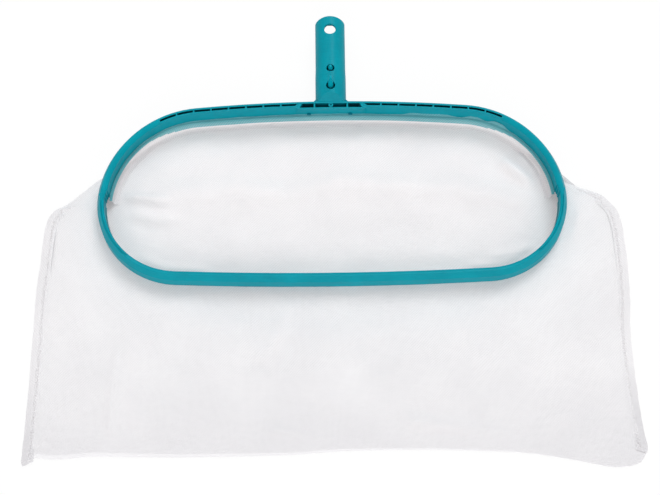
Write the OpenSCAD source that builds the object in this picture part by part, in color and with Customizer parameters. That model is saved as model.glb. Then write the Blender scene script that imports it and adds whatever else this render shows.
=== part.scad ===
// Leaf skimmer net: a moulded hoop and tongue with a deep mesh bag, lying flat, hoop front up.
// +Z is up, +Y points to the tip of the tongue, the origin is under the middle of the whole net.
// An offset is measured outwards from the front rim line of the hoop, a heading clockwise from +Y.

/* [Hoop outline] */
// Width over the front rim
hoop_w = 437; // [433:1:441]
// Height over the front rim
hoop_h = 178; // [176:1:180]
// Radius of the crown, the long top bar
crown_r = 1500; // [1300:10:1800]
// Radius of the two upper corners
shoulder_r = 98; // [94:1:104]
// Radius of the two lower corners
heel_r = 75; // [70:1:80]
// Radius of the scooping lip, the long bottom bar
lip_r = 3200; // [2800:50:3600]
// Where the middle of the hoop lies along Y
hoop_y = 43; // [40:1:46]

/* [Hoop section] */
// Depth of the hoop from front to rear
hoop_depth = 20.5; // [19:0.5:23]
// Height of the hoop's rear edge over the ground
hoop_rest = 7; // [6.5:0.5:9]
// Width of the front face along the thin part of the top bar
crown_w = 5.4; // [5.2:0.1:5.6]
// Width of the front face where the tongue joins
crown_mid_w = 7.5; // [7.3:0.1:7.6]
// Width of the top bar at the rear, where the strip lies
crown_rear_w = 6.2; // [6.1:0.1:6.3]
// Width of the front face round the upper corners
corner_w = 5.8; // [5.4:0.1:6.2]
// Width of the front face of the sides and the lip
lip_w = 4; // [3.6:0.1:4.6]
// How far the outer wall flares out at its crease
flare_crease = 3; // [2:0.1:3.2]
// How far the outer wall flares out at the rear
flare_rear = 3.3; // [3.2:0.1:4]
// Depth of the crease in the outer wall
crease_depth = 8; // [6:0.5:10]
// Thickness of the moulded walls
wall = 1.4; // [1.2:0.1:1.6]
// Thickness of the inner wall of the open pockets
pocket_wall = 1; // [0.8:0.1:1.2]

/* [Lap joint of the hoop's halves] */
// Heading where the upper half of the hoop ends outside
upper_end = 90; // [88:1:93]
// Heading where the inner lap of the upper half ends
lap_end = 137.5; // [130:0.5:140]
// Radius of the joint pins' heads
pin_head_r = 1.7; // [1.4:0.1:1.9]

/* [Pockets] */
// Spacing of the ribs in the top bar
rib_pitch = 16.8; // [15:0.1:17]
// Thickness of a rib
rib_t = 1.5; // [1.2:0.1:2]
// Distance of the first rib from the middle
first_rib_x = 15.8; // [15:0.1:16]
// Distance of the rib where the top bar narrows
narrow_x = 31.4; // [30:0.1:32]
// Number of pockets in each thin part
thin_pockets = 8; // [6:1:8]

/* [Tongue] */
// Outer diameter of the tongue at its root
tongue_d = 29.5; // [29:0.1:29.8]
// How much slimmer the tongue is in radius at its lead
lead_step = 0.3; // [0.2:0.05:0.4]
// Length of the slimmer lead at the tip
lead_len = 51; // [50:0.5:52]
// Length over which the tongue tapers to the lead
taper_len = 10; // [8:1:12]
// Wall of the tongue
tongue_wall = 3; // [2.6:0.1:3.2]
// Length of the tongue in front of the hoop
tongue_len = 89; // [86:0.5:92]
// Depth of the tongue's axis behind the front plane of the hoop
tongue_sink = 9; // [8:0.5:10]
// Radius of the rounded tip, seen from the front
tip_r = 38; // [34:1:44]
// Width of the slot along the back of the tongue
tongue_slot = 15; // [13:0.5:15]
// Length of the bridge across the slot, next to the hanging hole
slot_bridge = 12; // [10:1:14]
// Radius of the hanging hole
hang_r = 5.6; // [5:0.1:6]
// Distance of the hanging hole from the tip
hang_inset = 13.8; // [12.6:0.1:14]
// Length of the collar round the hanging hole
hang_collar = 4; // [3.5:0.5:7.5]
// Radius of the upper stud hole
upper_hole_r = 3.9; // [3.8:0.1:4.2]
// Distance of the upper stud hole from the tip
upper_hole_inset = 56.2; // [56:0.1:57]
// Radius of the lower stud hole
lower_hole_r = 4.4; // [4.3:0.1:4.8]
// Distance of the lower stud hole from the tip
lower_hole_inset = 74.6; // [74:0.1:75]

/* [Lock clip] */
// Rest angle between the sprung arm and the base
arm_tilt = 12.8; // [12:0.2:13]
// Width of the sprung arm
arm_w = 8.4; // [7:0.2:9]
// Thickness of the clip's strip
clip_t = 1.6; // [1.4:0.1:1.8]
// Radius of the short upper stud in its hole
upper_stud_r = 2.3; // [1.8:0.1:2.4]
// Radius of the long lower button in its hole
lower_stud_r = 2.6; // [2:0.1:2.8]
// How far the upper stud stands out of the tongue, which is nearly flush
upper_stud_out = 1.8; // [1.6:0.1:3]
// How far the lower button stands out of the tongue
lower_stud_out = 12; // [8:0.5:13]

/* [Bag] */
// Thickness of a layer of mesh, with its weave and its air
net_t = 1; // [0.8:0.1:1.2]
// Width of the sewn edge along the sides
seam_w = 5; // [4:0.5:7]
// Height that retainer strips fill behind the inner wall
strip_h = 4.15; // [4:0.05:4.5]
// How far the upper strip stands out of the inner wall
strip_proud = 2; // [1.5:0.1:2.5]
// Thickness of the mesh wrapped over a strip
hem_t = 0.8; // [0.6:0.1:0.9]

/* [Hidden] */
$fn = 96;
arc_fn = 720;

teal = [0.10, 0.60, 0.68];
wrapped_teal = [0.40, 0.70, 0.75];
mesh_white = [0.92, 0.92, 0.94];
thread_grey = [0.72, 0.73, 0.75];

// Heights
z_rear = hoop_rest;
z_front = hoop_rest + hoop_depth;
z_strip = z_rear + strip_h;

// Centres of the four arcs that touch each other in turn round half of the hoop
lip_c = [0, hoop_y - hoop_h / 2 + lip_r];
heel_x = hoop_w / 2 - heel_r;
heel_c = [heel_x, lip_c[1] - sqrt(pow(lip_r - heel_r, 2) - pow(heel_x, 2))];
crown_c = [0, hoop_y + hoop_h / 2 - crown_r];
shoulder_c = meeting_point(crown_c, crown_r - shoulder_r, heel_c, shoulder_r - heel_r);
crown_end = heading(shoulder_c - crown_c);
shoulder_end = heading(heel_c - shoulder_c);
heel_end = heading(heel_c - lip_c);

// Headings where the section of the top bar changes
narrow_end = asin(narrow_x / crown_r);
pockets_end_x = narrow_x + rib_pitch * thin_pockets;
pockets_end = asin((pockets_end_x - shoulder_c[0]) / shoulder_r);

// The tongue
hoop_top = hoop_y + hoop_h / 2;
tip_y = hoop_top + tongue_len;
tongue_r = tongue_d / 2;
lead_r = tongue_r - lead_step;
bore_r = lead_r - tongue_wall;
z_axis = z_front - tongue_sink;
z_crest = z_axis + tongue_r;
base_len = 6.8;
bulkhead = 8;
end_wall = 2.5;
bridge_gap = 0.8;
collar_wall = 2.5;
gusset = 4;
gusset_toe = 0.8;
hang_y = tip_y - hang_inset;
upper_hole_y = tip_y - upper_hole_inset;
lower_hole_y = tip_y - lower_hole_inset;

// The lock clip
pivot_inset = 35;
pivot_y = tip_y - pivot_inset;
pivot_z = z_axis - 1.5;
pivot_r = 2;
pivot_gap = 0.05;
arm_len = 44;
stud_lead = 0.9;
stud_tip_r = 1.6;
clip_base_z = z_axis - 7.6;
cradle_len = 5;
cradle_wall = 1.5;
cradle_mouth = 0.6 * pivot_r;
cradle_lip = 0.4;
base_w = 18;
base_gap = 1;
clip_gap = 0.05;
fit_gap = 0.02;

// The section of the hoop: the slot for the strips, the pockets, the ribs and the rounded fronts
strip_in = 1.6;
upper_wall_rear = crown_rear_w;
pocket_rim = 2.2;
rim_round = 0.7;
pocket_draft = 1;
rib_low = 0.2;
rib_top_gap = 0.3;
rib_bite = 0.2;
boss_r = 2.3;
dome_share = 0.62;
dome_blend = 0.72;
hollow_slant = 0.3;
hollow_drop = 0.5;
slim_steps = 3;

// The lap joint: an upper half that laps over the inside of the lip, and a pin on each side
lap_x = -1.5;
lap_groove = 0.9;
lap_groove_w = 0.4;
notch_turn = 2.1;
notch_depth = 1.6;
tab_turn = 8;
tab_root = 3;
tab_gap = 0.2;
pin_turn = 4.5;
pin_offset = -0.7;
pin_r = 1;
pin_recess = 0.7;
pin_head_t = 0.4;
pin_len = 12;

// The web where the top bar narrows, as distances from the middle
web_out_from = 25;
web_out_to = 31.5;
web_bend = 32.1;
web_in_to = 35;
web_foot_from = 30.7;
web_foot_to = 31.6;
boss_dimple_r = 0.9;
boss_dimple = 2;

// The pegs
left_peg_x = -21.4;
right_peg_x = 18.8;
peg_r = 1.2;
peg_head_r = 2;
peg_head_t = 0.8;
peg_seat = 0.05;
peg_end = 0.3;

// How far cuts reach past what they cut
reach = 60;
reach_out = 12;
reach_in = 24;
end_pad = 0.5;
over = 1;

// Outline of the bag, from where it leaves the hoop on the left, round the bottom, to the right.
// Each row is a point and the heading of the mouth that its mesh runs to.
left_shoulder = [-259, 36];
right_shoulder = [259, 41];
bag_rows = [
    [-217, 66, -68],
    [left_shoulder[0], left_shoulder[1], -82],
    [-269, 26, -88],
    [-274, 3, -100],
    [-277, -47, -118],
    [-279, -96, -128],
    [-281, -152, -137],
    [-281, -211, -146],
    [-271, -207, -150],
    [-150, -208, -177.6],
    [-46, -207, -179.1],
    [14, -204, -180.3],
    [89, -204, -181.5],
    [179, -209, -184],
    [253, -221, -209],
    [276, -217, -214],
    [281, -205, -217],
    [276, -143, -224],
    [275, -96, -232],
    [277, -30, -246],
    [275, 16, -262],
    [right_shoulder[0], right_shoulder[1], -276],
    [217, 58, -288]
];
row_steps = 3;
edge_z = 2 * net_t;
shoulder_row = 1;
left_tip_row = 8;
right_tip_row = 15;
right_shoulder_row = 21;
loft_power = 2.5;
sheet_rings = 7;
under_rim = 2;
thread_w = 0.6;
thread_t = 0.4;

// The heading of a direction, clockwise from +Y
function heading(v) = atan2(v[0], v[1]);

// The point at distance ra from a and rb from b, on the side towards the Y axis
function meeting_point(a, ra, b, rb) =
    let (d = norm(b - a))
    let (along = (ra * ra - rb * rb + d * d) / (2 * d))
    let (aside = sqrt(ra * ra - along * along))
    let (u = (b - a) / d)
    a + along * u + aside * [-u[1], u[0]];

// A point of the right half of the hoop at a heading from 0 to 180
function half_point(h, offset) =
    h < crown_end ? arc_point(crown_c, crown_r + offset, h) :
    h < shoulder_end ? arc_point(shoulder_c, shoulder_r + offset, h) :
    h < heel_end ? arc_point(heel_c, heel_r + offset, h) :
    arc_point(lip_c, lip_r + offset, h);

function arc_point(c, r, h) = c + r * [sin(h), cos(h)];

// A point of the whole hoop: headings from -180 to 0 are its left half
function hoop_point(h, offset) =
    let (turn = h - 360 * floor((h + 180) / 360))
    let (p = half_point(abs(turn), offset))
    turn < 0 ? [-p[0], p[1]] : p;

// The rows of the bag's outline with steps between them
function fine_rows(rows) = [
    for (i = [0 : len(rows) - 2])
        for (k = [0 : row_steps - 1])
            rows[i] + (rows[i + 1] - rows[i]) * k / row_steps,
    rows[len(rows) - 1]
];

// The rows moved inwards, towards the mouth
function inset_row(row, by) =
    let (m = hoop_point(row[2], 0))
    let (v = m - [row[0], row[1]])
    let (p = [row[0], row[1]] + v / norm(v) * by)
    [p[0], p[1], row[2]];

// The outline of the mesh inside the sewn edges: the fold along the bottom has none
function panel_rows() = [
    for (i = [0 : len(bag_rows) - 1])
        i > left_tip_row && i < right_tip_row ? bag_rows[i] : inset_row(bag_rows[i], seam_w)
];

function part_of(rows, from, to) = [for (i = [from : to]) rows[i]];

function points_of(rows) = [for (r = rows) [r[0], r[1]]];

function backwards(list) = [for (i = [len(list) - 1 : -1 : 0]) list[i]];

// One stretch of the hoop: a section swept along an arc, cut square at both headings. In the
// section, x is the offset from the front rim line and y is the height.
module stretch(c, r, from, to) {
    intersection() {
        centred_on(c)
            rotate_extrude(start = 90 - to - end_pad, angle = to - from + 2 * end_pad, $fn = arc_fn)
                translate([r, 0])
                    children();
        linear_extrude(z_front + over)
            polygon(concat(sector_side(from, to, reach_out), backwards(sector_side(from, to, -reach_in))));
    }
}

// A move to a point in two steps, whole hundredths first, so that arcs that touch meet exactly
module centred_on(c) {
    whole = [round(c[0] * 100) / 100, round(c[1] * 100) / 100];
    translate([whole[0], whole[1], 0])
        translate([c[0] - whole[0], c[1] - whole[1], 0])
            children();
}

function sector_side(from, to, offset) =
    let (steps = ceil((to - from) / 12))
    [for (i = [0 : steps]) hoop_point(from + (to - from) * i / steps, offset)];

module both_sides() {
    children();
    mirror([1, 0, 0]) children();
}

// The outer side of every section, from an inner offset at the front and at the rear
module walled_section(w_front, w_rear) {
    polygon([
        [-w_rear, z_strip],
        [-w_rear + strip_in, z_strip],
        [-w_rear + strip_in, z_rear],
        [flare_rear, z_rear],
        [flare_crease, z_front - crease_depth],
        [0, z_front - rim_round],
        [-rim_round, z_front],
        [-w_front + rim_round / 2, z_front],
        [-w_front, z_front - rim_round / 2]
    ]);
}

// The pocket that is open at the front, between the walls of the top bar
module pocket_section(w_front, w_rear) {
    web_z = z_strip + wall;
    outer = flare_crease - wall - pocket_draft;
    polygon([
        [-w_rear + pocket_wall, web_z],
        [outer, web_z],
        [outer, z_front - crease_depth],
        [-pocket_rim, z_front],
        [-pocket_rim, z_front + over],
        [-w_front + pocket_wall, z_front + over],
        [-w_front + pocket_wall, z_front]
    ]);
}

// A section with a closed, rounded front, hollow from the rear
module closed_section(w, w_rear) {
    dome_r = (w + flare_crease) * dome_share;
    difference() {
        intersection() {
            walled_section(w, w_rear);
            union() {
                translate([(flare_crease - w) / 2, z_front - dome_r]) circle(dome_r);
                translate([-w_rear - over, z_rear - over])
                    square([w_rear + flare_rear + 2 * over, hoop_depth + over - dome_r * dome_blend]);
            }
        }
        polygon([
            [-w_rear + strip_in + wall, z_rear - over],
            [flare_rear - wall, z_rear - over],
            [flare_crease - wall, z_front - crease_depth],
            [-w / 2 + hollow_slant, z_front - dome_r + hollow_drop],
            [-w + wall, z_front - dome_r],
            [-w + wall, z_strip + wall],
            [-w_rear + strip_in + wall, z_strip + wall]
        ]);
    }
}

// The middle of the top bar, wide enough for the root of the tongue
module crown_middle() {
    stretch(crown_c, crown_r, -narrow_end, narrow_end)
        difference() {
            walled_section(crown_mid_w, upper_wall_rear);
            pocket_section(crown_mid_w, upper_wall_rear);
        }
}

// The thin part of the top bar, which runs on into the upper corners
module crown_arms() {
    both_sides() {
        stretch(crown_c, crown_r, narrow_end, crown_end)
            difference() {
                walled_section(crown_w, upper_wall_rear);
                pocket_section(crown_w, upper_wall_rear);
            }
        stretch(shoulder_c, shoulder_r, crown_end, pockets_end)
            difference() {
                walled_section(crown_w, upper_wall_rear);
                pocket_section(crown_w, upper_wall_rear);
            }
    }
}

module corners() {
    both_sides() {
        stretch(shoulder_c, shoulder_r, pockets_end, shoulder_end)
            closed_section(corner_w, upper_wall_rear);
        for (i = [1 : slim_steps])
            stretch(heel_c, heel_r, slim_heading(i - 1), slim_heading(i))
                closed_section(slimmed(corner_w, i), slimmed(upper_wall_rear, i));
    }
}

// The slimming of the upper half towards its laps, in short even steps
function slim_heading(i) = shoulder_end + (upper_end - shoulder_end) * i / slim_steps;

function slimmed(w, i) = w + (lip_w - w) * i / slim_steps;

// The half of the lip's section on one side of the lap, -1 inside or 1 outside, with a grooved edge
module lap_section(side) {
    intersection() {
        difference() {
            closed_section(lip_w, lip_w);
            polygon([
                [lap_x - lap_groove_w, z_front],
                [lap_x, z_front - lap_groove],
                [lap_x + lap_groove_w, z_front]
            ]);
        }
        translate([side < 0 ? lap_x - reach_in : lap_x, 0])
            square([reach_in, z_front + over]);
    }
}

module inner_laps() {
    both_sides()
        stretch(heel_c, heel_r, upper_end, lap_end)
            lap_section(-1);
}

// The recess and the hole for a joint pin
module pin_place() {
    p = hoop_point(upper_end - pin_turn, pin_offset);
    translate([p[0], p[1], 0])
        children();
}

// The lower half of the hoop: the scooping lip, whose ends reach up outside the laps
module lip() {
    color(teal)
        difference() {
            union() {
                stretch(lip_c, lip_r, heel_end, 360 - heel_end)
                    closed_section(lip_w, lip_w);
                both_sides() {
                    difference() {
                        stretch(heel_c, heel_r, lap_end, heel_end)
                            closed_section(lip_w, lip_w);
                        stretch(heel_c, heel_r, lap_end, lap_end + notch_turn)
                            translate([lap_x - reach_in, z_front - notch_depth])
                                square([reach_in, notch_depth + over]);
                    }
                    stretch(heel_c, heel_r, upper_end, lap_end)
                        lap_section(1);
                    lip_tab();
                }
            }
            both_sides()
                pin_place()
                    cylinder(r = pin_r + fit_gap, h = reach);
        }
}

// The tab of the lip inside the hollow end of the upper half, which the pin goes through
module lip_tab() {
    tab_low = z_strip + wall + tab_gap;
    tab_high = z_front - crease_depth - tab_gap;
    inner = -lip_w + wall + tab_gap;
    outer = flare_crease - wall - tab_gap;
    stretch(heel_c, heel_r, upper_end - tab_turn, upper_end)
        translate([inner, tab_low])
            square([outer - inner, tab_high - tab_low]);
    stretch(heel_c, heel_r, upper_end, upper_end + tab_root)
        translate([lap_x, tab_low])
            square([outer + 3 * tab_gap - lap_x, tab_high - tab_low]);
}

module joint_pins() {
    color(teal)
        both_sides()
            pin_place() {
                translate([0, 0, z_front - pin_recess - pin_len])
                    cylinder(r = pin_r, h = pin_len);
                translate([0, 0, z_front - pin_recess])
                    cylinder(r = pin_head_r - fit_gap, h = pin_head_t);
            }
}

// The recesses of the joint pins
module pin_recesses() {
    both_sides()
        pin_place() {
            translate([0, 0, z_front - pin_recess]) cylinder(r = pin_head_r, h = reach);
            cylinder(r = pin_r + fit_gap, h = reach);
        }
}

// The section of a rib, let a little into the walls
module rib_section(w, w_rear) {
    top = z_front - rib_top_gap;
    outer = flare_crease - wall - pocket_draft + rib_bite;
    polygon([
        [-w_rear + pocket_wall - rib_bite, z_strip + rib_low],
        [outer, z_strip + rib_low],
        [outer, z_front - crease_depth],
        [-pocket_rim + rib_bite, top],
        [-w + pocket_wall - rib_bite, top]
    ]);
}

// One rib across a pocket at a heading
module rib(c, r, h, w, w_rear) {
    half = asin(rib_t / 2 / r);
    stretch(c, r, h - half, h + half)
        rib_section(w, w_rear);
}

function rib_heading(x) = asin(x / crown_r);

function corner_rib_heading(x) = asin((x - shoulder_c[0]) / shoulder_r);

module ribs() {
    both_sides() {
        rib(crown_c, crown_r, rib_heading(first_rib_x), crown_mid_w, upper_wall_rear);
        for (i = [1 : thin_pockets]) {
            x = narrow_x + i * rib_pitch;
            if (x < shoulder_c[0])
                rib(crown_c, crown_r, rib_heading(x), crown_w, upper_wall_rear);
            else
                rib(shoulder_c, shoulder_r, corner_rib_heading(x), crown_w, upper_wall_rear);
        }
    }
    translate([0, hoop_top - crown_mid_w / 2, z_strip + rib_low])
        difference() {
            boss_h = z_front - z_strip - rib_low - rib_top_gap;
            cylinder(r = boss_r, h = boss_h);
            translate([0, 0, boss_h - boss_dimple]) cylinder(r = boss_dimple_r, h = reach);
        }
}

// A point of the top bar by its distance from the middle
function crown_point(x, offset) = arc_point(crown_c, crown_r + offset, rib_heading(x));

// The slanted web on each side where the top bar narrows
module narrowing_webs() {
    web_more = pocket_wall - 2 * rib_bite;
    both_sides()
        intersection() {
            stretch(crown_c, crown_r, rib_heading(web_out_from - over), rib_heading(web_in_to + over))
                rib_section(crown_mid_w + web_more, upper_wall_rear + web_more);
            linear_extrude(z_front)
                polygon([
                    crown_point(web_out_from, flare_rear),
                    crown_point(web_out_to, flare_rear),
                    crown_point(web_bend, -pocket_rim),
                    crown_point(web_in_to, -crown_w + pocket_wall),
                    crown_point(web_in_to, -crown_w + rib_bite),
                    crown_point(web_foot_to, -crown_mid_w),
                    crown_point(web_foot_from, -crown_mid_w)
                ]);
        }
}

// A cylinder along Y on the tongue's axis
module along_tongue(r, from, to, end_r = 0) {
    translate([0, from, z_axis])
        rotate([-90, 0, 0])
            cylinder(r1 = r, r2 = end_r > 0 ? end_r : r, h = to - from);
}

// The round body of the tongue with its sloping root and its rounded tip
module tongue_body() {
    slope = atan2(z_crest - z_front, base_len);
    rear_slope = atan2(z_rear - (z_axis - tongue_r), base_len);
    difference() {
        intersection() {
            union() {
                along_tongue(tongue_r, hoop_top - wall, tip_y - lead_len - taper_len);
                along_tongue(tongue_r, tip_y - lead_len - taper_len, tip_y - lead_len, lead_r);
                along_tongue(lead_r, tip_y - lead_len, tip_y);
            }
            union() {
                translate([0, tip_y - tip_r, 0]) cylinder(r = tip_r, h = z_crest + over);
                translate([-tip_r, hoop_top - wall, 0])
                    cube([2 * tip_r, tongue_len + wall - tip_r, z_crest + over]);
            }
        }
        translate([-reach / 2, hoop_top, z_front])
            rotate([slope, 0, 0])
                translate([0, -reach / 2, 0])
                    cube([reach, reach, reach]);
        translate([-reach / 2, hoop_top, z_rear])
            rotate([-rear_slope, 0, 0])
                translate([0, -reach / 2, -reach])
                    cube([reach, reach, reach]);
        difference() {
            along_tongue(bore_r, hoop_top + bulkhead, tip_y - end_wall);
            translate([0, hang_y, z_axis + lead_r - hang_collar])
                cylinder(r = hang_r + collar_wall, h = reach);
        }
        tongue_slot_cut(hoop_top + bulkhead, hang_y - hang_r - bridge_gap - slot_bridge);
        tongue_slot_cut(hang_y - hang_r - bridge_gap, tip_y + over);
    }
}

// A stretch of the slot along the back of the tongue
module tongue_slot_cut(from, to) {
    translate([-tongue_slot / 2, from, z_axis - tongue_r - over])
        cube([tongue_slot, to - from, tongue_r]);
}

// The small webs in the corners between the tongue and the hoop
module gussets() {
    both_sides()
        translate([tongue_r - over, hoop_top - end_pad, z_axis - gusset])
            linear_extrude(2 * gusset)
                polygon([
                    [0, 0],
                    [over + gusset, 0],
                    [gusset_toe, gusset + end_pad],
                    [0, gusset + end_pad]
                ]);
}

module bore_at(y, r) {
    translate([0, y, z_axis]) cylinder(r = r, h = reach);
}

module peg_holes(r) {
    for (x = [left_peg_x, right_peg_x])
        translate([x, hoop_top - upper_wall_rear - over, z_strip + peg_head_r])
            rotate([-90, 0, 0])
                cylinder(r = r, h = pocket_wall + over + end_pad);
}

module frame() {
    color(teal)
        difference() {
            union() {
                crown_middle();
                crown_arms();
                corners();
                inner_laps();
                ribs();
                narrowing_webs();
                tongue_body();
                gussets();
            }
            bore_at(hang_y, hang_r);
            bore_at(upper_hole_y, upper_hole_r);
            bore_at(lower_hole_y, lower_hole_r);
            peg_holes(peg_r + fit_gap);
            pin_recesses();
        }
}

// A ring round the upper part of the mouth, between two offsets and two heights
module upper_band(inner, outer, low, high) {
    stretch(crown_c, crown_r, -crown_end, crown_end)
        translate([inner, low]) square([outer - inner, high - low]);
    both_sides()
        stretch(shoulder_c, shoulder_r, crown_end, shoulder_end)
            translate([inner, low]) square([outer - inner, high - low]);
}

// The same round the lower part of the mouth
module lower_band(inner, outer, low, high) {
    both_sides()
        stretch(heel_c, heel_r, upper_end, heel_end)
            translate([inner, low]) square([outer - inner, high - low]);
    stretch(lip_c, lip_r, heel_end, 360 - heel_end)
        translate([inner, low]) square([outer - inner, high - low]);
}

module upper_retainer_strip() {
    color(wrapped_teal)
        upper_band(-upper_wall_rear - strip_proud, -upper_wall_rear + strip_in, z_rear, z_strip);
}

module lower_retainer_strip() {
    color(teal)
        lower_band(-lip_w, -lip_w + strip_in, z_rear, z_strip);
}

// Two locking pegs whose heads hold the upper strip down
module strip_pegs() {
    lean = (crown_mid_w - upper_wall_rear) * 2 * peg_head_r / (z_front - z_strip);
    color([0.05, 0.35, 0.42])
        for (x = [left_peg_x, right_peg_x]) {
            y_wall = crown_c[1] + sqrt(pow(crown_r - upper_wall_rear - lean, 2) - pow(x, 2));
            translate([x, y_wall - peg_head_t, z_strip + peg_head_r])
                rotate([-90, 0, 0]) {
                    cylinder(r = peg_head_r, h = peg_head_t - peg_seat);
                    cylinder(r = peg_r, h = peg_head_t + pocket_wall + peg_end);
                }
        }
}

module upper_mouth_hem() {
    inner = -upper_wall_rear - strip_proud - hem_t;
    color(mesh_white)
        upper_band(inner, inner + hem_t, net_t, z_strip);
}

module lower_mouth_hem() {
    color(mesh_white)
        lower_band(-lip_w - hem_t, -lip_w, z_rear, z_strip);
}

// The height of the top of the front mesh, from the mouth, 0, to its sewn edge, 1
function loft(t) = z_rear - (z_rear - edge_z) * pow(t, loft_power);

// The front mesh, from the hoop's rear edge down to its edge all round: a lofted sheet
module net_front_panel() {
    rows = fine_rows(panel_rows());
    count = len(rows);
    rings = sheet_rings;
    grid = [
        for (side = [0, 1])
            for (j = [0 : rings - 1])
                for (r = rows)
                    let (t = j / (rings - 1))
                    let (m = hoop_point(r[2], -lip_w - hem_t))
                    let (p = m + ([r[0], r[1]] - m) * t)
                    [p[0], p[1], loft(t) - side * net_t]
    ];
    under = rings * count;
    last = (rings - 1) * count;
    faces = [
        for (j = [0 : rings - 2])
            for (i = [0 : count - 2])
                let (a = j * count + i)
                each [
                    [a, a + 1, a + count + 1], [a, a + count + 1, a + count],
                    [under + a, under + a + count + 1, under + a + 1],
                    [under + a, under + a + count, under + a + count + 1]
                ],
        for (i = [0 : count - 2])
            each [
                [i, under + i + 1, i + 1], [i, under + i, under + i + 1],
                [last + i, last + i + 1, under + last + i + 1],
                [last + i, under + last + i + 1, under + last + i]
            ],
        for (j = [0 : rings - 2])
            let (a = j * count)
            let (b = a + count - 1)
            each [
                [a, a + count, under + a + count], [a, under + a + count, under + a],
                [b, under + b + count, b + count], [b, under + b, under + b + count]
            ]
    ];
    color(mesh_white)
        polyhedron(grid, faces);
}

// The back mesh, flat on the ground, up to under the top bar
module net_back_panel() {
    left_end = -bag_rows[0][2];
    right_end = 360 + bag_rows[len(bag_rows) - 1][2];
    under_hoop = [
        for (h = [right_end : -4 : 8]) hoop_point(h, -under_rim),
        hoop_point(0, -under_rim),
        for (h = [8 : 4 : left_end]) hoop_point(-h, -under_rim)
    ];
    color(mesh_white)
        linear_extrude(net_t)
            polygon(concat(points_of(panel_rows()), under_hoop));
}

// A sewn edge: both layers of mesh, folded in and stitched, along part of the outline
module sewn_edge(from, to) {
    outer = part_of(bag_rows, from, to);
    inner = [for (r = outer) inset_row(r, seam_w)];
    color(mesh_white)
        linear_extrude(edge_z)
            polygon(concat(points_of(outer), backwards(points_of(inner))));
}

module left_shoulder_seam() {
    sewn_edge(0, shoulder_row);
}

module left_side_seam() {
    sewn_edge(shoulder_row, left_tip_row);
}

module right_side_seam() {
    sewn_edge(right_tip_row, right_shoulder_row);
}

module right_shoulder_seam() {
    sewn_edge(right_shoulder_row, right_shoulder_row + 1);
}

// The row of stitches that lies on a sewn edge
module stitch_line(from, to) {
    near = [for (r = part_of(bag_rows, from, to)) inset_row(r, seam_w / 2 - thread_w / 2)];
    far = [for (r = part_of(bag_rows, from, to)) inset_row(r, seam_w / 2 + thread_w / 2)];
    color(thread_grey)
        translate([0, 0, edge_z])
            linear_extrude(thread_t)
                polygon(concat(points_of(near), backwards(points_of(far))));
}

module left_stitching() {
    stitch_line(0, left_tip_row - 1);
}

module right_stitching() {
    stitch_line(right_tip_row + 1, right_shoulder_row + 1);
}

// The base of the lock clip: a strip that lies over the slot, with a cradle at the clip's bend
module lock_clip_base() {
    base_end = hoop_top + bulkhead + base_gap;
    color(teal)
        intersection() {
            difference() {
                union() {
                    translate([-base_w / 2, base_end, clip_base_z])
                        cube([base_w, pivot_y + cradle_len - base_end, clip_t]);
                    translate([-arm_w / 2, pivot_y - pivot_r, clip_base_z])
                        cube([arm_w, pivot_r + cradle_len, pivot_z + pivot_r + cradle_wall - clip_base_z]);
                }
                translate([-base_w / 2, pivot_y, pivot_z])
                    rotate([0, 90, 0])
                        cylinder(r = pivot_r + pivot_gap, h = base_w);
                translate([-base_w / 2, pivot_y - reach, pivot_z - cradle_mouth])
                    cube([base_w, reach + cradle_lip, reach]);
            }
            along_tongue(bore_r - clip_gap, hoop_top, tip_y);
        }
}

// The place along the sprung arm where a stud comes up through a hole
function stud_place(hole_y) =
    let (dy = hole_y + stud_lead - pivot_y)
    let (dz = z_crest - tongue_wall / 2 - pivot_z)
    [dy * cos(arm_tilt) - dz * sin(arm_tilt), dy * sin(arm_tilt) + dz * cos(arm_tilt)];

// A stud that slims towards its round end from the middle of the tongue's wall on
module stud(hole_y, r, out) {
    place = stud_place(hole_y);
    slim_len = tongue_wall / 2 + out - stud_tip_r;
    translate([0, place[0], 0]) {
        cylinder(r = r, h = place[1]);
        translate([0, 0, place[1]])
            cylinder(r1 = r, r2 = stud_tip_r, h = slim_len);
        translate([0, 0, place[1] + slim_len])
            sphere(r = stud_tip_r);
    }
}

// The sprung arm of the lock clip with its stud and its button, turning in the bend of the clip
module lock_clip_arm() {
    color(teal)
        translate([0, pivot_y, pivot_z])
            rotate([-arm_tilt, 0, 0]) {
                translate([-arm_w / 2, 0, 0])
                    rotate([0, 90, 0])
                        cylinder(r = pivot_r, h = arm_w);
                translate([-arm_w / 2, -arm_len, -clip_t / 2])
                    cube([arm_w, arm_len, clip_t]);
                stud(upper_hole_y, upper_stud_r, upper_stud_out);
                stud(lower_hole_y, lower_stud_r, lower_stud_out);
            }
}

frame();
lip();
joint_pins();
upper_retainer_strip();
lower_retainer_strip();
strip_pegs();
upper_mouth_hem();
lower_mouth_hem();
net_front_panel();
net_back_panel();
left_side_seam();
right_side_seam();
left_shoulder_seam();
right_shoulder_seam();
left_stitching();
right_stitching();
lock_clip_base();
lock_clip_arm();
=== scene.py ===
"""The looks of a leaf skimmer net: a moulded hoop and tongue with a deep mesh bag, lying flat.

Lengths inside the classes are in millimetres, and become metres when a mesh is laid out. An offset is
measured outwards from the front rim line of the hoop, and a heading clockwise from +Y, the way to the tip of
the tongue.
"""

import logging
import math
from dataclasses import dataclass, field
from enum import Enum
from typing import Callable, Sequence

import bpy
import numpy as np
from mathutils import Matrix, Vector, noise


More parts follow.
